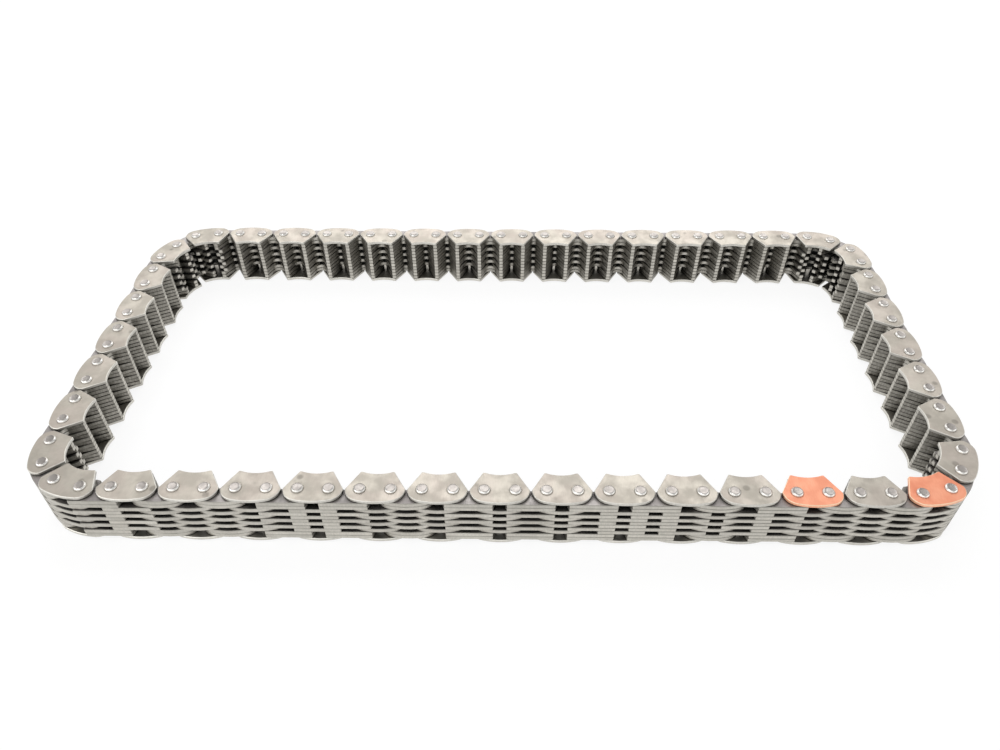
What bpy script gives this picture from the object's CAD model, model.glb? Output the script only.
"""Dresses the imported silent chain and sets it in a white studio.

The plates, pins and marker plates get worn steel and copper finishes.
"""
import logging
import math
from dataclasses import dataclass, field
from enum import Enum
from itertools import pairwise, product

import bpy
from mathutils import Matrix, Vector
from mathutils.geometry import tessellate_polygon


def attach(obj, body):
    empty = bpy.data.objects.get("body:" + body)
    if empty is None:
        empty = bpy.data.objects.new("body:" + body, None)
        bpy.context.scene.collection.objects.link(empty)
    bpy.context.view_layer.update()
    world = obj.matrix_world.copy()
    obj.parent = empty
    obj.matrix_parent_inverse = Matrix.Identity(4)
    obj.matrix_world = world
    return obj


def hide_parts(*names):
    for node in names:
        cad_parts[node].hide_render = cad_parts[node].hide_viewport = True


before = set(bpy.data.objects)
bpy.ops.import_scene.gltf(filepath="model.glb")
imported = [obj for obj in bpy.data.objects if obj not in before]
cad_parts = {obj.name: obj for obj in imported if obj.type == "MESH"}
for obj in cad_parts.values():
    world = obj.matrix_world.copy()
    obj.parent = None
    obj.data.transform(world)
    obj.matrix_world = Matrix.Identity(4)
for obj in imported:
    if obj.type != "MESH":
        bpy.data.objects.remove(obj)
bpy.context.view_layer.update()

LOG = logging.getLogger("chain")
MM = 0.001
# Faces that meet at more than this angle keep a sharp edge between them
SHARP_ANGLE = math.radians(32)
# Keeps a sharp corner of an outline from being pushed in too far
CORNER_LIMIT = 0.4
# Steps between the tones of the plates in a stack, and between the stacks of different outlines
PLATE_TONE_STEP = 0.618034
OUTLINE_TONE_STEP = 0.37
# Names under which a mesh stores the kind and the tone of each face
KIND_LABEL = "edge_kind"
TONE_LABEL = "plate_tone"

Point = tuple[float, float]
Vertex = tuple[float, float, float]
Face = tuple[int, ...]
Colour = tuple[float, float, float]
Socket = bpy.types.NodeSocket


class BackShape(Enum):
    """Shape of a toothed plate's back."""

    ROUND = "round"
    SQUARE = "square"


class ArchShape(Enum):
    """Width of the arch between a toothed plate's toes."""

    NARROW = "narrow"
    WIDE = "wide"


class LinkKind(Enum):
    """The two kinds of link that alternate along the chain."""

    GUIDE = "guide"
    INNER = "inner"


class EdgeKind(Enum):
    """Which part of a plate a face belongs to, as stored on the mesh for the finishes."""

    FACE = 0.0
    BACK = 1.0
    FLANK = 2.0
    HOLE = 3.0
    RIM = 4.0
    SEAM = 5.0


@dataclass(frozen=True)
class ChainSizes:
    """Sizes that all pieces share, in metres, and from guide_end on in parts of the pitch."""

    pitch: float = 9.525 * MM
    plate_t: float = 1.55 * MM
    guide_t: float = 1.2 * MM
    face_gap: float = 0.06 * MM
    pin_d: float = 3.85 * MM
    pin_proud: float = 0.8 * MM
    running_gap: float = 0.05 * MM
    seat_gap: float = 0.02 * MM
    guide_end: float = 0.47
    guide_crown: float = 0.53
    guide_depth: float = 0.72
    guide_reach: float = 0.05
    tooth_end: float = 0.45
    tooth_crown: float = 0.505
    square_half: float = 0.77
    toe_depth: float = 0.69
    toe_reach: float = 0.08
    guide_hollow: float = 0.09
    hollow_land: float = 0.06
    arch_depth: float = 0.22
    wide_arch_r: float = 0.26
    wide_arch_depth: float = 0.345
    # Rows of toothed plates in each kind of link, from the bottom
    inner_rows: tuple[int, ...] = (0, 1, 3, 5, 7, 9, 10)
    guide_rows: tuple[int, ...] = (2, 4, 6, 8)

    @property
    def first_row_z(self) -> float:
        """Height of the lowest toothed plate."""
        return self.pin_proud + self.guide_t + self.face_gap

    @property
    def top_guide_z(self) -> float:
        """Height of the upper guide plate's lower face."""
        return self.row_z(len(self.inner_rows) + len(self.guide_rows))

    @property
    def pin_length(self) -> float:
        """Whole length of a pin."""
        return self.top_guide_z + self.guide_t + self.pin_proud

    @property
    def flank_slope(self) -> float:
        """Slope of a toe's inner flank in radians, in line with the outer flank of the next link's toe."""
        return math.atan((self.tooth_end - self.toe_reach) / self.toe_depth)

    @property
    def arch_r(self) -> float:
        """Radius of the narrow arch between the toes, in parts of the pitch."""
        half = 0.5 - self.toe_reach - (self.toe_depth - self.arch_depth) * math.tan(self.flank_slope)
        return half * math.cos(self.flank_slope)

    def row_z(self, row: int) -> float:
        """Height of one row of toothed plates.

        Args:
            row: the row's number, from the bottom.

        Returns:
            The height of its lower face.
        """
        return self.first_row_z + row * (self.plate_t + self.face_gap)


@dataclass(frozen=True)
class ChainLoop:
    """The closed path of the pins, which turns alike in both halves.

    Args:
        sizes: the shared sizes.
    """

    sizes: ChainSizes
    front_pairs: int = 13
    side_pairs: int = 5
    # Turns at the pins of the two front corners, in degrees
    left_corner: tuple[float, ...] = (10, 35, 30, 16)
    right_corner: tuple[float, ...] = (12, 38, 16, 23)
    # Links of each half whose toothed plates have a square back
    square_links: tuple[int, ...] = (3, 4, 9, 10, 11, 15, 17, 19, 20, 21, 22, 24, 25, 34, 35, 38, 41)
    # Links whose arches can be seen in the photograph, and those of them with a narrow arch
    seen_arches: range = range(47, 74)
    seen_narrow: tuple[int, ...] = (48, 49, 53, 58, 59, 60, 63, 64, 65, 67, 68, 73)

    @property
    def half_links(self) -> int:
        """Number of links in half of the loop."""
        return len(self.left_corner) + len(self.right_corner) + 2 * (self.front_pairs + self.side_pairs)

    @property
    def link_count(self) -> int:
        """Number of links in the whole loop."""
        return 2 * self.half_links

    def headings(self) -> list[float]:
        """Returns:
            The direction of each link in radians, with the front run along +X.
        """
        front, side = [0] * (2 * self.front_pairs), [0] * (2 * self.side_pairs)
        half = [*self.left_corner, *front, *self.right_corner, *side]
        heading, found = -float(sum(self.left_corner)), []
        for turn in half + half:
            heading += turn
            found.append(math.radians(heading))
        return found

    def pins(self) -> list[Vector]:
        """Returns:
            The place of each pin in the plane, around the loop's middle.
        """
        places = [Vector((0.0, 0.0))]
        for heading in self.headings()[:-1]:
            places.append(places[-1] + self.sizes.pitch * Vector((math.cos(heading), math.sin(heading))))
        middle = (places[0] + places[self.half_links]) / 2
        return [p - middle for p in places]

    def frames(self) -> list[Matrix]:
        """Returns:
            The matrix that places each link: its pins lie half a pitch either side of its middle.
        """
        pins, found = self.pins(), []
        for k, heading in enumerate(self.headings()):
            middle = (pins[k] + pins[(k + 1) % self.link_count]) / 2
            found.append(Matrix.Translation((middle.x, middle.y, 0.0)) @ Matrix.Rotation(heading, 4, "Z"))
        return found

    def bodies(self) -> list[str]:
        """Returns:
            The name of the moving body that each link belongs to.
        """
        names: list[str] = []
        for near, run, far, side in (
            ("front_left", "front", "front_right", "right"),
            ("back_right", "back", "back_left", "left"),
        ):
            for corner, straight, pairs in ((near, run, self.front_pairs), (far, side, self.side_pairs)):
                for i in (1, 2):
                    names += [f"{corner}_guide_link_{i}", f"{corner}_inner_link_{i}"]
                for i in range(1, pairs + 1):
                    names += [f"{straight}_links_{i}"] * 2
        return names

    def back_of(self, link: int) -> BackShape:
        """Shape of the backs of one link's toothed plates.

        Args:
            link: the link's number.

        Returns:
            The shape.
        """
        return BackShape.SQUARE if link % self.half_links in self.square_links else BackShape.ROUND

    def arch_of(self, link: int) -> ArchShape:
        """Width of one link's arches, as seen along the back run, and narrow under square backs elsewhere.

        Args:
            link: the link's number.

        Returns:
            The width.
        """
        if link in self.seen_arches:
            is_narrow = link in self.seen_narrow
        else:
            is_narrow = self.back_of(link) is BackShape.SQUARE
        return ArchShape.NARROW if is_narrow else ArchShape.WIDE


def arc(centre: Point, radius: float, start: float, end: float, steps: int) -> list[Point]:
    """Points along an arc.

    Args:
        centre: middle of the circle.
        radius: radius of the circle.
        start: first angle in radians.
        end: last angle in radians.
        steps: number of equal steps.

    Returns:
        The points, both ends included.
    """
    angles = [start + (end - start) * i / steps for i in range(steps + 1)]
    return [(centre[0] + radius * math.cos(a), centre[1] + radius * math.sin(a)) for a in angles]


def circle(centre: Point, radius: float, steps: int) -> list[Point]:
    """Points around a circle.

    Args:
        centre: middle of the circle.
        radius: radius of the circle.
        steps: number of points.

    Returns:
        The points, anticlockwise.
    """
    return arc(centre, radius, 0.0, math.tau, steps)[:-1]


def softened(before: Point, corner: Point, after: Point, radius: float, steps: int = 3) -> list[Point]:
    """A corner rounded with a small arc.

    Args:
        before: the point ahead of the corner.
        corner: the corner itself.
        after: the point behind the corner.
        radius: radius of the arc.
        steps: number of equal steps along it.

    Returns:
        The points that stand for the corner.
    """
    c = Vector(corner)
    a, b = (Vector(before) - c).normalized(), (Vector(after) - c).normalized()
    half = a.angle(b) / 2
    reach = radius / math.tan(half)
    middle = c + (a + b).normalized() * (radius / math.sin(half))
    first, last = c + a * reach - middle, c + b * reach - middle
    turn = first.angle_signed(last)
    found = []
    for i in range(steps + 1):
        spun = Matrix.Rotation(-turn * i / steps, 2) @ first
        found.append((middle.x + spun.x, middle.y + spun.y))
    return found


@dataclass
class Outline:
    """A closed plate outline, anticlockwise, with the kind of each side that starts at a point."""

    points: list[Point] = field(default_factory=list)
    kinds: list[EdgeKind] = field(default_factory=list)

    def add(self, points: list[Point], kind: EdgeKind) -> None:
        """Appends points whose sides are of one kind.

        Args:
            points: the points.
            kind: the kind of the sides that start at them.
        """
        self.points += points
        self.kinds += [kind] * len(points)

    def inset(self, depth: float) -> list[Point]:
        """The outline moved inwards.

        Args:
            depth: how far each side moves.

        Returns:
            One point for each point of the outline.
        """
        moved, n = [], len(self.points)
        for i in range(n):
            p, q, r = (Vector(self.points[j % n]) for j in (i - 1, i, i + 1))
            a, b = (q - p).normalized(), (r - q).normalized()
            na, nb = Vector((-a.y, a.x)), Vector((-b.y, b.x))
            push = (na + nb) / max(1.0 + na.dot(nb), CORNER_LIMIT)
            moved.append((q.x + push.x * depth, q.y + push.y * depth))
        return moved


@dataclass
class MeshDraft:
    """The points and faces of a mesh to be, with the kind and the tone of each face.

    Args:
        name: the mesh's name.
    """

    name: str
    verts: list[Vertex] = field(default_factory=list)
    faces: list[Face] = field(default_factory=list)
    kinds: list[float] = field(default_factory=list)
    tones: list[float] = field(default_factory=list)

    def ring(self, points: list[Point], z: float) -> None:
        """Appends points at one height.

        Args:
            points: the points in the plane.
            z: their height.
        """
        self.verts += [(x, y, z) for x, y in points]

    def face(self, corners: Face, kind: EdgeKind) -> None:
        """Appends a face.

        Args:
            corners: the numbers of its points.
            kind: its kind.
        """
        self.faces.append(corners)
        self.kinds.append(kind.value)

    def tone(self, value: float) -> None:
        """Gives a tone to all faces that have none yet.

        Args:
            value: the tone, from 0 to 1.
        """
        self.tones += [value] * (len(self.faces) - len(self.tones))

    def build(self) -> bpy.types.Mesh:
        """Returns:
            The mesh, with the kinds and tones stored and its shading set.
        """
        mesh = bpy.data.meshes.new(self.name)
        mesh.from_pydata(self.verts, [], self.faces)
        for label, values in ((KIND_LABEL, self.kinds), (TONE_LABEL, self.tones)):
            mesh.attributes.new(label, "FLOAT", "FACE").data.foreach_set("value", values)
        mesh.polygons.foreach_set("use_smooth", [True] * len(self.faces))
        mesh.set_sharp_from_angle(angle=SHARP_ANGLE)
        mesh.update()
        return mesh


@dataclass
class PlateMaker:
    """Draws the outlines of the plates and turns them into meshes.

    Args:
        sizes: the shared sizes.
    """

    sizes: ChainSizes
    guide_edge: float = 0.20 * MM
    tooth_edge: float = 0.18 * MM
    corner_round: float = 0.22 * MM
    toe_round: float = 0.12 * MM
    hole_steps: int = 22
    end_steps: int = 8
    back_steps: int = 10
    hollow_steps: int = 10
    arch_steps: int = 10
    # First point of the arch with a bright edge, and the first one past it that is a flank again
    wide_bright: tuple[int, int] = (1, 9)
    narrow_bright: tuple[int, int] = (2, 8)

    def back(self, shape: Outline, end: float, crown: float) -> None:
        """Adds a round back, from the left end at the pins' line to the right one.

        Args:
            shape: the outline that gets it.
            end: radius of the ends around the pins, in parts of the pitch.
            crown: height of the back above the pins' line, in parts of the pitch.
        """
        s = self.sizes
        end_r, top, half = end * s.pitch, crown * s.pitch, s.pitch / 2
        back_r = (half * half + top * top - end_r * end_r) / (2 * (top - end_r))
        tilt = math.asin(half / (back_r - end_r))
        down = -math.pi / 2
        left = arc((-half, 0.0), end_r, -math.pi, down - tilt, self.end_steps)
        middle = arc((0.0, back_r - top), back_r, down - tilt, down + tilt, self.back_steps)
        right = arc((half, 0.0), end_r, down + tilt, 0.0, self.end_steps)
        shape.add([*left[:-1], *middle[:-1], *right[:-1]], EdgeKind.BACK)

    def guide_outline(self) -> Outline:
        """Returns:
            The outline of a guide plate: a round back and a hollow inner edge.
        """
        s, shape = self.sizes, Outline()
        x, y = (0.5 + s.guide_reach) * s.pitch, s.guide_depth * s.pitch
        side = (0.5 + s.guide_end) * s.pitch
        land = x - s.hollow_land * s.pitch
        sag = s.guide_hollow * s.pitch
        r = (land * land + sag * sag) / (2 * sag)
        swing = math.asin(land / r)
        down = -math.pi / 2
        shape.add([(side, 0.0)], EdgeKind.FLANK)
        shape.add(softened((side, 0.0), (x, y), (land, y), self.corner_round), EdgeKind.BACK)
        shape.add(arc((0.0, y - sag + r), r, down + swing, down - swing, self.hollow_steps), EdgeKind.BACK)
        shape.add(softened((-land, y), (-x, y), (-side, 0.0), self.corner_round), EdgeKind.FLANK)
        self.back(shape, s.guide_end, s.guide_crown)
        return shape

    def toothed_outline(self, back: BackShape, width: ArchShape) -> Outline:
        """The outline of a toothed plate.

        Args:
            back: shape of its back.
            width: width of the arch between its toes.

        Returns:
            The outline, with the space between its two toes.
        """
        s, shape = self.sizes, Outline()
        x, y = (0.5 + s.toe_reach) * s.pitch, s.toe_depth * s.pitch
        side = (0.5 + s.tooth_end) * s.pitch
        is_wide = width is ArchShape.WIDE
        r = (s.wide_arch_r if is_wide else s.arch_r) * s.pitch
        rise = (s.wide_arch_depth if is_wide else s.arch_depth) * s.pitch
        inner = (0.5 - s.toe_reach) * s.pitch
        lean = math.acos(r / math.hypot(inner, y - rise)) - math.atan2(y - rise, inner)
        arch = arc((0.0, rise), r, -lean, -math.pi + lean, self.arch_steps)
        first, last = self.wide_bright if is_wide else self.narrow_bright
        outer_toe = softened((side, 0.0), (x, y), (inner, y), self.toe_round)
        inner_toe = softened((x, y), (inner, y), arch[0], self.toe_round)
        far_inner = [(-px, py) for px, py in reversed(inner_toe)]
        far_outer = [(-px, py) for px, py in reversed(outer_toe)]
        shape.add([(side, 0.0), *outer_toe[:-1]], EdgeKind.FLANK)
        shape.add(outer_toe[-1:], EdgeKind.BACK)
        shape.add([*inner_toe, *arch[:first]], EdgeKind.FLANK)
        shape.add(arch[first:last], EdgeKind.BACK)
        shape.add([*arch[last:], *far_inner[:-1]], EdgeKind.FLANK)
        shape.add(far_inner[-1:], EdgeKind.BACK)
        shape.add(far_outer, EdgeKind.FLANK)
        if back is BackShape.ROUND:
            self.back(shape, s.tooth_end, s.tooth_crown)
            return shape
        half, top = s.square_half * s.pitch, s.tooth_crown * s.pitch
        shape.add([(-side, 0.0)], EdgeKind.BACK)
        shape.add(softened((-side, 0.0), (-half, -top), (half, -top), self.corner_round), EdgeKind.BACK)
        shape.add(softened((-half, -top), (half, -top), (side, 0.0), self.corner_round), EdgeKind.BACK)
        return shape

    def stack(
        self,
        name: str,
        outline: Outline,
        thick: float,
        bevel: float,
        gap: float,
        heights: list[float],
        seam: EdgeKind = EdgeKind.RIM,
    ) -> bpy.types.Mesh:
        """One mesh of equal plates at several heights.

        Args:
            name: the mesh's name.
            outline: outline of a plate.
            thick: thickness of a plate.
            bevel: width of the bevel along its edges.
            gap: clearance around the pins, on the radius.
            heights: height of each plate's lower face.
            seam: kind of the bevels along the flanks.

        Returns:
            The mesh, with each face's kind and each plate's tone stored on it.
        """
        s, n, m = self.sizes, len(outline.points), self.hole_steps
        inset, outer = outline.inset(bevel), outline.points
        holes = [circle((x, 0.0), s.pin_d / 2 + gap, m) for x in (-s.pitch / 2, s.pitch / 2)]
        cap = self.cap(inset, holes)
        draft = MeshDraft(name)
        for place, z in enumerate(heights):
            base = len(draft.verts)
            for ring, h in ((inset, 0.0), (outer, bevel), (outer, thick - bevel), (inset, thick)):
                draft.ring(ring, z + h)
            low_holes = len(draft.verts)
            for h, hole in product((0.0, thick), holes):
                draft.ring(hole, z + h)
            high_holes, end = low_holes + 2 * m, len(draft.verts)
            bottom = [*range(base, base + n), *range(low_holes, high_holes)]
            top = [*range(low_holes - n, low_holes), *range(high_holes, end)]
            under, over = self.face_kinds(z, thick, seam)
            for a, b, c in cap:
                draft.face((top[a], top[b], top[c]), over)
                draft.face((bottom[c], bottom[b], bottom[a]), under)
            for level, i in product(range(3), range(n)):
                low, j = base + level * n, (i + 1) % n
                side = outline.kinds[i]
                bevelled = seam if side is EdgeKind.FLANK else EdgeKind.RIM
                draft.face((low + i, low + j, low + n + j, low + n + i), side if level == 1 else bevelled)
            for hole, i in product(range(2), range(m)):
                low, high, j = low_holes + hole * m, high_holes + hole * m, (i + 1) % m
                draft.face((low + j, low + i, high + i, high + j), EdgeKind.HOLE)
            draft.tone(math.modf((place + 1) * PLATE_TONE_STEP + n * OUTLINE_TONE_STEP)[0])
        return draft.build()

    def face_kinds(self, z: float, thick: float, seam: EdgeKind) -> tuple[EdgeKind, EdgeKind]:
        """Kinds of a plate's lower and upper face: a guide plate's face towards the stack is a grimy one.

        Args:
            z: height of the plate's lower face.
            thick: its thickness.
            seam: kind of the bevels along its flanks, which tells toothed plates from guide plates.

        Returns:
            The kind of the lower face and of the upper one.
        """
        if seam is EdgeKind.SEAM:
            return EdgeKind.FACE, EdgeKind.FACE
        is_low = z + thick < self.sizes.pin_length / 2
        return (EdgeKind.FACE, EdgeKind.SEAM) if is_low else (EdgeKind.SEAM, EdgeKind.FACE)

    def cap(self, rim: list[Point], holes: list[list[Point]]) -> list[tuple[int, int, int]]:
        """Triangles that fill a rim around its holes.

        Args:
            rim: the outer points.
            holes: the points of each hole.

        Returns:
            Triangles, facing up, of indices into the rim and then the holes.
        """
        rings = [[Vector((x, y, 0.0)) for x, y in ring] for ring in (rim, *holes)]
        flat = [v for ring in rings for v in ring]
        found = []
        for a, b, c in tessellate_polygon(rings):
            area = (flat[b] - flat[a]).cross(flat[c] - flat[a]).z
            found.append((a, b, c) if area > 0 else (c, b, a))
        return found


@dataclass
class PinMaker:
    """Turns the profile of a riveted pin into a mesh.

    Args:
        sizes: the shared sizes.
    """

    sizes: ChainSizes
    steps: int = 28
    rim_width: float = 0.54 * MM
    rim_drop: float = 0.58 * MM
    dish: float = 0.03 * MM
    # Radius of the dish's flat floor in parts of the pin's, and of its wall in rim widths from the side
    dish_floor: float = 0.45
    dish_wall: float = 1.12
    # Points across the rim: distance from the side in rim widths, share of the drop, and kind
    rim_points: tuple[tuple[float, float, EdgeKind], ...] = (
        (1.0, 0.0, EdgeKind.FACE),
        (0.76, 0.10, EdgeKind.FACE),
        (0.14, 0.70, EdgeKind.BACK),
        (0.0, 1.0, EdgeKind.BACK),
    )
    tone_middle: float = 0.3
    tone_spread: float = 0.2

    def profile(self) -> list[tuple[float, float, EdgeKind]]:
        """Returns:
            Radius, height and kind of each ring from the lower end to the upper one.
        """
        r, w, length = self.sizes.pin_d / 2, self.rim_width, self.sizes.pin_length
        end = [
            (self.dish_floor * r, self.dish, EdgeKind.FACE),
            (r - self.dish_wall * w, self.dish / 2, EdgeKind.FACE),
            *((r - across * w, down * self.rim_drop, kind) for across, down, kind in self.rim_points),
        ]
        return end + [(x, length - z, kind) for x, z, kind in reversed(end)]

    def pair(self, name: str) -> bpy.types.Mesh:
        """One mesh with both pins of a guide link.

        Args:
            name: the mesh's name.

        Returns:
            The mesh.
        """
        s, rings, n = self.sizes, self.profile(), self.steps
        kinds = [max(a[2], b[2], key=lambda kind: kind.value) for a, b in pairwise(rings)]
        draft = MeshDraft(name)
        for side in (-1, 1):
            x, low_tip = side * s.pitch / 2, len(draft.verts)
            high_tip, first = low_tip + 1, low_tip + 2
            draft.verts += [(x, 0.0, self.dish), (x, 0.0, s.pin_length - self.dish)]
            for r, z, _ in rings:
                draft.ring(circle((x, 0.0), r, n), z)
            last = len(draft.verts) - n
            for i in range(n):
                j = (i + 1) % n
                draft.face((low_tip, first + j, first + i), EdgeKind.FACE)
                draft.face((high_tip, last + i, last + j), EdgeKind.FACE)
                for level, kind in enumerate(kinds):
                    low = first + level * n
                    draft.face((low + i, low + j, low + n + j, low + n + i), kind)
            draft.tone(self.tone_middle + self.tone_spread * side)
        return draft.build()


class Graph:
    """A material's node tree, built one node at a time."""

    def __init__(self, name: str) -> None:
        """Args:
            name: the material's name.
        """
        self.material = bpy.data.materials.new(name)
        self.material.use_nodes = True
        self.tree = self.material.node_tree
        self.tree.nodes.clear()

    def add(self, kind: str, inputs: dict | None = None, **settings: object) -> bpy.types.Node:
        """Adds a node.

        Args:
            kind: the node's type without its ShaderNode prefix.
            inputs: socket name or number to a value or to the socket that feeds it.
            settings: properties of the node.

        Returns:
            The node.
        """
        node = self.tree.nodes.new(f"ShaderNode{kind}")
        for key, value in settings.items():
            setattr(node, key, value)
        for key, value in (inputs or {}).items():
            if isinstance(value, Socket):
                self.tree.links.new(value, node.inputs[key])
            else:
                node.inputs[key].default_value = value
        return node

    def mix(self, factor: object, low: object, high: object, blend: str = "MIX") -> Socket:
        """Mixes two colours.

        Args:
            factor: a number or the socket that gives it.
            low: colour, or its socket, where the factor is 0.
            high: colour, or its socket, where the factor is 1.
            blend: how the second colour is laid on the first.

        Returns:
            The colour's socket.
        """
        sockets = {0: factor, 6: rgba(low), 7: rgba(high)}
        return self.add("Mix", sockets, data_type="RGBA", blend_type=blend).outputs[2]

    def math(self, operation: str, a: object, b: object) -> Socket:
        """One sum on numbers or their sockets.

        Args:
            operation: what is done.
            a: the first number or its socket.
            b: the second number or its socket.

        Returns:
            The result's socket.
        """
        return self.add("Math", {0: a, 1: b}, operation=operation).outputs[0]

    def ramp(self, factor: Socket, low: float, high: float) -> Socket:
        """A smooth step.

        Args:
            factor: the number that is stepped.
            low: where the step starts.
            high: where it ends.

        Returns:
            The socket of a number from 0 to 1.
        """
        inputs = {"Value": factor, "From Min": low, "From Max": high}
        return self.add("MapRange", inputs, interpolation_type="SMOOTHSTEP").outputs[0]

    def noise(self, place: Socket, scale: float, detail: float = 3.0, rough: float = 0.55) -> Socket:
        """Cloudy noise.

        Args:
            place: the socket of the place.
            scale: number of clouds along a metre.
            detail: how many finer layers are added.
            rough: how strong the finer layers are.

        Returns:
            The socket of a number from 0 to 1.
        """
        inputs = {"Vector": place, "Scale": scale, "Detail": detail, "Roughness": rough}
        return self.add("TexNoise", inputs).outputs["Fac"]

    def reaches(self, kind: Socket, first: EdgeKind) -> Socket:
        """Whether a face is of one kind or a later one.

        Args:
            kind: the socket of the face's kind.
            first: the kind to reach.

        Returns:
            The socket of 0 or 1.
        """
        return self.math("GREATER_THAN", kind, first.value - 0.5)


def rgba(colour: object) -> object:
    """A colour with its alpha, or a socket as it is.

    Args:
        colour: three numbers, or anything else.

    Returns:
        Four numbers, or what was given.
    """
    return (*colour, 1.0) if isinstance(colour, tuple) and len(colour) == 3 else colour


@dataclass(frozen=True)
class WearPattern:
    """Scales, steps and strengths of the wear that all the metals share."""

    # Shift of the pattern along Y and Z for each piece, as multiples of the one along X
    seed_shift: Point = (7.3, 3.1)
    blotch_detail: float = 4.0
    cloud_detail: float = 2.0
    # Scale of the clouds as a share of the blotches'
    cloud_scale: float = 0.45
    grain_scale: float = 3600.0
    grain_stretch: float = 0.16
    shear_scale: float = 2600.0
    shear_stretch: float = 0.12
    fine_rough: float = 0.6
    spot_scale: float = 120.0
    # Where each smooth step starts and ends
    blotch_step: Point = (0.36, 0.66)
    cloud_step: Point = (0.42, 0.62)
    grain_step: Point = (0.35, 0.7)
    spot_step: Point = (0.17, 0.09)
    shear_step: Point = (0.3, 0.7)
    rim_step: Point = (0.1, 0.5)
    # How strongly each pattern is laid on the colour
    cloud_mix: float = 0.5
    grain_mix: float = 0.35
    flank_mix: float = 0.5
    seam_turn: float = 3.7
    # The darkest shade, and what the plate's tone and the piece's own number add to it
    shade_low: float = 0.88
    shade_tone: float = 0.14
    shade_piece: float = 0.10
    grime_samples: int = 6
    # What grain and grime add to the roughness, and the bump's depth
    grain_rough: float = 0.12
    grime_rough: float = 0.25
    blotch_lift: float = 0.6
    bump_depth: float = 0.05 * MM


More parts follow.
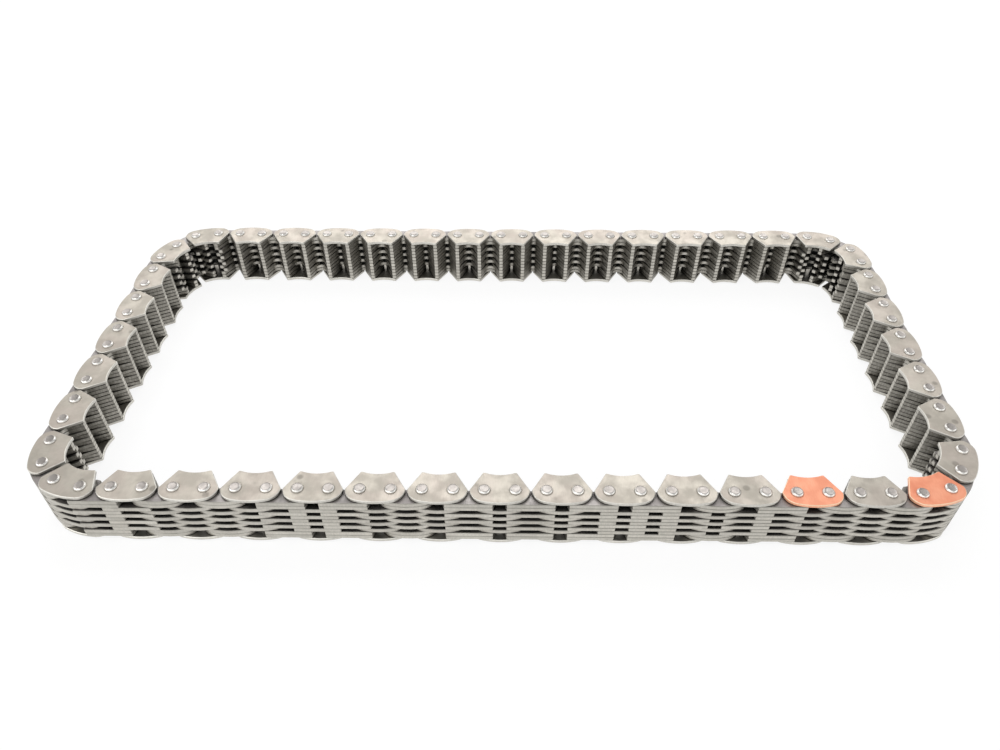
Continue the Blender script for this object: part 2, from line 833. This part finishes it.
@dataclass(frozen=True)
class MetalFinish:
    """A worn metal: blotched faces, fine grain, paler cut edges and grime where plates lie close."""

    name: str
    face: Colour
    face_dark: Colour
    tint: Colour
    edge: Colour
    edge_dark: Colour
    flank: Colour
    rim: Colour
    seam: Colour
    grime: Colour
    metallic: float = 1.0
    rough_low: float = 0.34
    rough_high: float = 0.52
    blotch_scale: float = 170.0
    grain_turn: float = 35.0
    grain_depth: float = 0.10
    spots: float = 0.0
    seam_wear: float = 0.8
    grime_reach: float = 3.0 * MM
    grime_start: float = 0.12
    grime_end: float = 0.62
    wear: WearPattern = WearPattern()

    def place(self, g: Graph, seed: Socket) -> Socket:
        """Object coordinates, shifted by a different amount for each piece.

        Args:
            g: the node tree.
            seed: the socket of the piece's own number.

        Returns:
            The socket of the place.
        """
        along_y, along_z = (g.math("MULTIPLY", seed, turn) for turn in self.wear.seed_shift)
        shift = g.add("CombineXYZ", {0: seed, 1: along_y, 2: along_z})
        where = g.add("TexCoord").outputs["Object"]
        return g.add("VectorMath", {0: where, 1: shift.outputs[0]}, operation="ADD").outputs[0]

    def face_colour(self, g: Graph, place: Socket, blotch: Socket, grain: Socket) -> Socket:
        """Colour of the flat faces: blotches, tinted clouds, fine grain and a few dark spots.

        Args:
            g: the node tree.
            place: the socket of the place.
            blotch: the socket of the blotches.
            grain: the socket of the grain.

        Returns:
            The colour's socket.
        """
        w = self.wear
        cloud = g.ramp(g.noise(place, self.blotch_scale * w.cloud_scale, w.cloud_detail), *w.cloud_step)
        face = g.mix(blotch, self.face_dark, self.face)
        face = g.mix(g.math("MULTIPLY", cloud, w.cloud_mix), face, self.tint)
        face = g.mix(g.math("MULTIPLY", g.ramp(grain, *w.grain_step), w.grain_mix), face, self.face_dark)
        if self.spots:
            inputs = {"Vector": place, "Scale": w.spot_scale, "Randomness": 1.0}
            spot = g.ramp(g.add("TexVoronoi", inputs).outputs["Distance"], *w.spot_step)
            face = g.mix(g.math("MULTIPLY", spot, self.spots), face, self.grime)
        return face

    def plate_colour(self, g: Graph, place: Socket, seed: Socket, face: Socket) -> Socket:
        """Colour of faces, edges, flanks, rims and seams, with the plate's own shade.

        Args:
            g: the node tree.
            place: the socket of the place.
            seed: the socket of the piece's own number.
            face: the colour of the flat faces.

        Returns:
            The colour's socket.
        """
        w = self.wear
        kind = g.add("Attribute", attribute_name=KIND_LABEL).outputs["Fac"]
        tone = g.add("Attribute", attribute_name=TONE_LABEL).outputs["Fac"]
        upright = g.add("Mapping", {"Vector": place, "Scale": (1.0, 1.0, w.shear_stretch)})
        shear = g.noise(upright.outputs[0], w.shear_scale, rough=w.fine_rough)
        streaks = g.ramp(shear, *w.shear_step)
        edge = g.mix(streaks, self.edge_dark, self.edge)
        flank = g.mix(g.math("MULTIPLY", streaks, w.flank_mix), self.flank, self.edge_dark)
        rim = g.mix(g.ramp(shear, *w.rim_step), edge, self.rim)
        uneven = g.math("FRACT", g.math("ADD", tone, g.math("MULTIPLY", seed, w.seam_turn)), 0.0)
        seam = g.mix(g.math("MULTIPLY", uneven, self.seam_wear), self.seam, flank)
        colour = g.mix(g.reaches(kind, EdgeKind.BACK), face, edge)
        colour = g.mix(g.reaches(kind, EdgeKind.FLANK), colour, flank)
        colour = g.mix(g.reaches(kind, EdgeKind.RIM), colour, rim)
        colour = g.mix(g.reaches(kind, EdgeKind.SEAM), colour, seam)
        own = g.math("ADD", g.math("MULTIPLY", tone, w.shade_tone), g.math("MULTIPLY", seed, w.shade_piece))
        value = g.math("ADD", own, w.shade_low)
        shade = g.add("CombineColor", {0: value, 1: value, 2: value}).outputs[0]
        return g.mix(1.0, colour, shade, "MULTIPLY")

    def roughness(self, g: Graph, blotch: Socket, grain: Socket, open_air: Socket) -> Socket:
        """Roughness: lower on the blotches, higher with the grain and where grime sits.

        Args:
            g: the node tree.
            blotch: the socket of the blotches.
            grain: the socket of the grain.
            open_air: the socket of how free of grime the place is.

        Returns:
            The number's socket.
        """
        w = self.wear
        rough = g.math("ADD", g.math("MULTIPLY", blotch, self.rough_low - self.rough_high), self.rough_high)
        rough = g.math("ADD", rough, g.math("MULTIPLY", grain, w.grain_rough))
        return g.math("ADD", rough, g.math("MULTIPLY", g.math("SUBTRACT", 1.0, open_air), w.grime_rough))

    def material(self) -> bpy.types.Material:
        """Returns:
            The finish as a material.
        """
        g, w = Graph(self.name), self.wear
        seed = g.add("ObjectInfo").outputs["Random"]
        place = self.place(g, seed)
        blotch = g.ramp(g.noise(place, self.blotch_scale, w.blotch_detail), *w.blotch_step)
        turn = (0, 0, math.radians(self.grain_turn))
        turned = g.add("Mapping", {"Vector": place, "Rotation": turn, "Scale": (1.0, w.grain_stretch, 1.0)})
        grain = g.noise(turned.outputs[0], w.grain_scale, rough=w.fine_rough)
        close = g.add("AmbientOcclusion", {"Distance": self.grime_reach}, samples=w.grime_samples)
        open_air = g.ramp(close.outputs["AO"], self.grime_start, self.grime_end)
        colour = self.plate_colour(g, place, seed, self.face_colour(g, place, blotch, grain))
        colour = g.mix(open_air, self.grime, colour)
        rough = self.roughness(g, blotch, grain, open_air)
        lift = g.math("ADD", grain, g.math("MULTIPLY", blotch, w.blotch_lift))
        bump = g.add("Bump", {"Strength": self.grain_depth, "Distance": w.bump_depth, "Height": lift})
        inputs = {"Base Color": colour, "Roughness": rough, "Normal": bump.outputs[0]}
        shader = g.add("BsdfPrincipled", inputs)
        shader.inputs["Metallic"].default_value = self.metallic
        g.add("OutputMaterial", {0: shader.outputs[0]})
        return g.material


GUIDE_STEEL = MetalFinish(
    "burnished_guide_steel",
    face=(0.56, 0.52, 0.455), face_dark=(0.48, 0.445, 0.39), tint=(0.56, 0.49, 0.44),
    edge=(0.68, 0.66, 0.61), edge_dark=(0.58, 0.565, 0.52), flank=(0.50, 0.48, 0.44),
    rim=(0.72, 0.70, 0.645), seam=(0.30, 0.285, 0.255), grime=(0.07, 0.065, 0.055),
    rough_low=0.38, rough_high=0.52, spots=0.35, seam_wear=0.0,
    grime_reach=1.2 * MM, grime_start=0.34, grime_end=0.82,
)
PLATE_STEEL = MetalFinish(
    "worn_plate_steel",
    face=(0.41, 0.385, 0.37), face_dark=(0.32, 0.30, 0.29), tint=(0.39, 0.355, 0.35),
    edge=(0.585, 0.56, 0.505), edge_dark=(0.50, 0.48, 0.435), flank=(0.225, 0.213, 0.186),
    rim=(0.32, 0.308, 0.275), seam=(0.035, 0.032, 0.027), grime=(0.010, 0.0105, 0.008),
    grime_reach=5.0 * MM, grime_start=0.2, grime_end=0.64,
)
PIN_STEEL = MetalFinish(
    "riveted_pin_steel",
    face=(0.46, 0.43, 0.405), face_dark=(0.36, 0.335, 0.315), tint=(0.44, 0.405, 0.38),
    edge=(0.86, 0.84, 0.80), edge_dark=(0.78, 0.765, 0.73), flank=(0.50, 0.49, 0.46),
    rim=(0.86, 0.84, 0.80), seam=(0.05, 0.05, 0.045), grime=(0.03, 0.03, 0.027),
    rough_low=0.20, rough_high=0.32, blotch_scale=520.0,
)
MARKER_COPPER = MetalFinish(
    "copper_marker",
    face=(0.93, 0.395, 0.24), face_dark=(0.82, 0.30, 0.175), tint=(0.94, 0.45, 0.29),
    edge=(0.97, 0.56, 0.36), edge_dark=(0.90, 0.43, 0.27), flank=(0.90, 0.42, 0.27),
    rim=(1.0, 0.74, 0.52), seam=(0.30, 0.11, 0.07), grime=(0.22, 0.07, 0.04),
    metallic=0.45, rough_low=0.42, rough_high=0.56,
    grime_reach=1.2 * MM, grime_start=0.34, grime_end=0.82,
)


@dataclass
class Dresser:
    """Holds the finishes as materials, and puts the pieces in their places.

    Args:
        loop: the chain's path.
    """

    loop: ChainLoop
    made: dict[str, bpy.types.Material] = field(default_factory=dict)

    def dress(self, mesh: bpy.types.Mesh, finish: MetalFinish) -> None:
        """Gives a mesh its finish, which is built on first use.

        Args:
            mesh: the mesh.
            finish: its finish.
        """
        if finish.name not in self.made:
            self.made[finish.name] = finish.material()
        mesh.materials.append(self.made[finish.name])

    def set_piece(self, name: str, mesh: bpy.types.Mesh, link: int, stands_for: str, slot: str) -> None:
        """Places one piece on its link.

        Args:
            name: the piece's name.
            mesh: its mesh, in the link's own frame.
            link: the link's number.
            stands_for: the solid that it shows in place of.
            slot: the record's material slot.
        """
        piece = bpy.data.objects.new(name, mesh)
        bpy.context.scene.collection.objects.link(piece)
        piece.matrix_world = self.loop.frames()[link]
        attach(piece, self.loop.bodies()[link])
        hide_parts(stands_for)
        LOG.info("%s rides on %s", name, self.loop.bodies()[link])


@dataclass
class LinkSet:
    """All links of the chain, from a few meshes that the pieces share.

    Args:
        sizes: the shared sizes.
        loop: the chain's path.
        dresser: gives the pieces their finishes.
    """

    sizes: ChainSizes
    loop: ChainLoop
    dresser: Dresser
    # Guide links whose upper guide plate is a copper-coloured marker
    marker_links: tuple[int, ...] = (26, 30)
    guide_meshes: dict[bool, bpy.types.Mesh] = field(default_factory=dict)
    plate_meshes: dict[tuple[LinkKind, BackShape, ArchShape], bpy.types.Mesh] = field(default_factory=dict)
    pin_mesh: bpy.types.Mesh | None = None
    marker_mesh: bpy.types.Mesh | None = None

    def build(self) -> None:
        """Makes the shared meshes."""
        s, maker = self.sizes, PlateMaker(self.sizes)
        outline, edge = maker.guide_outline(), maker.guide_edge
        low, high = s.pin_proud, s.top_guide_z
        for marked, heights in ((False, [low, high]), (True, [low])):
            name = f"guide_plates_{len(heights)}"
            self.guide_meshes[marked] = maker.stack(name, outline, s.guide_t, edge, s.seat_gap, heights)
        self.marker_mesh = maker.stack("marker_plate", outline, s.guide_t, edge, s.seat_gap, [high])
        for kind, rows, gap in (
            (LinkKind.GUIDE, s.guide_rows, s.seat_gap),
            (LinkKind.INNER, s.inner_rows, s.running_gap),
        ):
            heights = [s.row_z(row) for row in rows]
            for back, arch in product(BackShape, ArchShape):
                name = f"{kind.value}_{back.value}_{arch.value}_plates"
                outline, edge = maker.toothed_outline(back, arch), maker.tooth_edge
                mesh = maker.stack(name, outline, s.plate_t, edge, gap, heights, EdgeKind.SEAM)
                self.plate_meshes[kind, back, arch] = mesh
        self.pin_mesh = PinMaker(s).pair("riveted_pins")

    def dress(self) -> None:
        """Gives each shared mesh its finish."""
        for mesh in self.guide_meshes.values():
            self.dresser.dress(mesh, GUIDE_STEEL)
        for mesh in self.plate_meshes.values():
            self.dresser.dress(mesh, PLATE_STEEL)
        self.dresser.dress(self.pin_mesh, PIN_STEEL)
        self.dresser.dress(self.marker_mesh, MARKER_COPPER)

    def set_out(self) -> None:
        """Places the pieces of every link along the loop."""
        put = self.dresser.set_piece
        for link, node in enumerate(self.loop.bodies()):
            kind = LinkKind.INNER if link % 2 else LinkKind.GUIDE
            label = f"link_{link + 1:02d}"
            plates = self.plate_meshes[kind, self.loop.back_of(link), self.loop.arch_of(link)]
            put(f"{label}_{kind.value}_toothed_plates", plates, link, node, "link_steel")
            if kind is LinkKind.INNER:
                continue
            marked = link in self.marker_links
            put(f"{label}_guide_plates", self.guide_meshes[marked], link, node, "link_steel")
            put(f"{label}_pins", self.pin_mesh, link, node, "link_steel")
            if marked:
                name = f"marker_plate_{self.marker_links.index(link) + 1}"
                put(f"{label}_marker_plate", self.marker_mesh, link, name, "marker_copper")


@dataclass(frozen=True)
class SoftLamp:
    """One soft lamp aimed at the chain.

    Args:
        name: the lamp's name.
        place: where it hangs.
        size: its width and height.
        power: its power in watts.
    """

    name: str
    place: Vertex
    size: Point
    power: float

    def build(self) -> None:
        """Hangs the lamp."""
        data = bpy.data.lights.new(self.name, "AREA")
        data.shape = "RECTANGLE"
        data.size, data.size_y = self.size
        data.energy = self.power
        lamp = bpy.data.objects.new(self.name, data)
        lamp.location = self.place
        lamp.rotation_euler = (-Vector(self.place)).to_track_quat("-Z", "Y").to_euler()
        bpy.context.scene.collection.objects.link(lamp)


@dataclass
class Studio:
    """White floor, soft lamps and the camera at the photograph's place.

    Args:
        sizes: the shared sizes.
    """

    sizes: ChainSizes
    # A large lamp above and behind, weaker ones in front, overhead and low at the sides, more from the left
    lamps: tuple[SoftLamp, ...] = (
        SoftLamp("soft_key", (0.0, 0.6, 0.62), (1.1, 0.7), 4.4),
        SoftLamp("soft_front", (-0.2, -0.8, 0.55), (1.0, 0.4), 1.6),
        SoftLamp("soft_top_left", (-0.42, -0.35, 0.8), (0.4, 0.4), 1.1),
        SoftLamp("soft_top_right", (0.42, -0.35, 0.8), (0.4, 0.4), 0.25),
        SoftLamp("soft_left", (-0.75, -0.35, 0.28), (0.6, 0.3), 1.0),
        SoftLamp("soft_right", (0.75, -0.35, 0.28), (0.6, 0.3), 0.45),
    )
    floor_z: float = -1e-5
    # Radius and height of each ring of the floor, which rises into the backdrop
    sweep: tuple[Point, ...] = ((1.5, 0.0), (5.0, 0.0), (5.6, 0.12), (5.9, 0.42), (6.0, 0.9), (6.0, 2.6))
    sweep_steps: int = 48
    floor_grey: Colour = (0.9, 0.9, 0.9)
    white: Colour = (1.0, 1.0, 1.0)
    white_glow: float = 1.06
    # Share of its own white in the floor's look, next to the light that falls on it
    white_share: float = 0.82
    sky: float = 0.48
    focal_px: float = 786.2
    frame_px: float = 1000.0
    sensor_mm: float = 36.0
    clip: Point = (0.01, 50.0)
    # Tilt below the horizon in degrees, yaw and roll in radians
    tilt: float = 42.79
    yaw: float = 0.0096
    roll: float = 0.0008
    eye_plan: Point = (-0.45 * MM, -223.0 * MM)
    eye_above_pins: float = 187.8 * MM

    def floor(self) -> None:
        """A wide white floor that keeps a faint shadow and runs up into a backdrop all round."""
        n = self.sweep_steps
        verts: list[Vertex] = []
        for radius, height in self.sweep:
            verts += [(x, y, height + self.floor_z) for x, y in circle((0.0, 0.0), radius, n)]
        faces: list[Face] = [tuple(range(n))]
        for low, i in product(range(0, len(verts) - n, n), range(n)):
            j = (i + 1) % n
            faces.append((low + i, low + n + i, low + n + j, low + j))
        mesh = bpy.data.meshes.new("floor")
        mesh.from_pydata(verts, [], faces)
        mesh.polygons.foreach_set("use_smooth", [True] * len(faces))
        mesh.materials.append(self.floor_material())
        floor = bpy.data.objects.new("floor", mesh)
        bpy.context.scene.collection.objects.link(floor)

    def floor_material(self) -> bpy.types.Material:
        """Returns:
            A pale matt material that looks nearly white by itself to the camera and in reflections.
        """
        g = Graph("white_floor")
        path = g.add("LightPath").outputs
        seen = g.math("MAXIMUM", path["Is Camera Ray"], path["Is Glossy Ray"])
        seen = g.math("MAXIMUM", seen, path["Is Transmission Ray"])
        lit = g.add("BsdfDiffuse", {"Color": rgba(self.floor_grey)})
        white = g.add("Emission", {"Color": rgba(self.white), "Strength": self.white_glow})
        share = g.math("MULTIPLY", seen, self.white_share)
        both = g.add("MixShader", {0: share, 1: lit.outputs[0], 2: white.outputs[0]})
        g.add("OutputMaterial", {0: both.outputs[0]})
        return g.material

    def world(self) -> None:
        """An even pale sky."""
        world = bpy.data.worlds.new("pale_sky")
        world.use_nodes = True
        back = world.node_tree.nodes["Background"]
        back.inputs[0].default_value = rgba(self.white)
        back.inputs[1].default_value = self.sky
        bpy.context.scene.world = world

    def camera(self) -> None:
        """The camera, at the place that was worked out from the guide plates in the photograph."""
        data = bpy.data.cameras.new("camera")
        data.sensor_width = self.sensor_mm
        data.lens = self.focal_px / self.frame_px * data.sensor_width
        data.clip_start, data.clip_end = self.clip
        camera = bpy.data.objects.new("camera", data)
        eye = Vector((*self.eye_plan, self.eye_above_pins + self.sizes.pin_length))
        turn = Matrix.Rotation(self.yaw, 4, "Z") @ Matrix.Rotation(math.radians(90 - self.tilt), 4, "X")
        camera.matrix_world = Matrix.Translation(eye) @ turn @ Matrix.Rotation(self.roll, 4, "Z")
        bpy.context.scene.collection.objects.link(camera)
        bpy.context.scene.camera = camera

    def build(self) -> None:
        """Sets up the whole studio."""
        self.camera()
        self.floor()
        self.world()
        for lamp in self.lamps:
            lamp.build()
        bpy.context.scene.view_settings.view_transform = "Standard"


def main() -> None:
    """Builds the studio and all pieces of the chain."""
    logging.basicConfig(level=logging.INFO, format="%(name)s: %(message)s")
    sizes = ChainSizes()
    loop = ChainLoop(sizes)
    Studio(sizes).build()
    links = LinkSet(sizes, loop, Dresser(loop))
    links.build()
    links.dress()
    links.set_out()


if __name__ == "__main__":
    main()
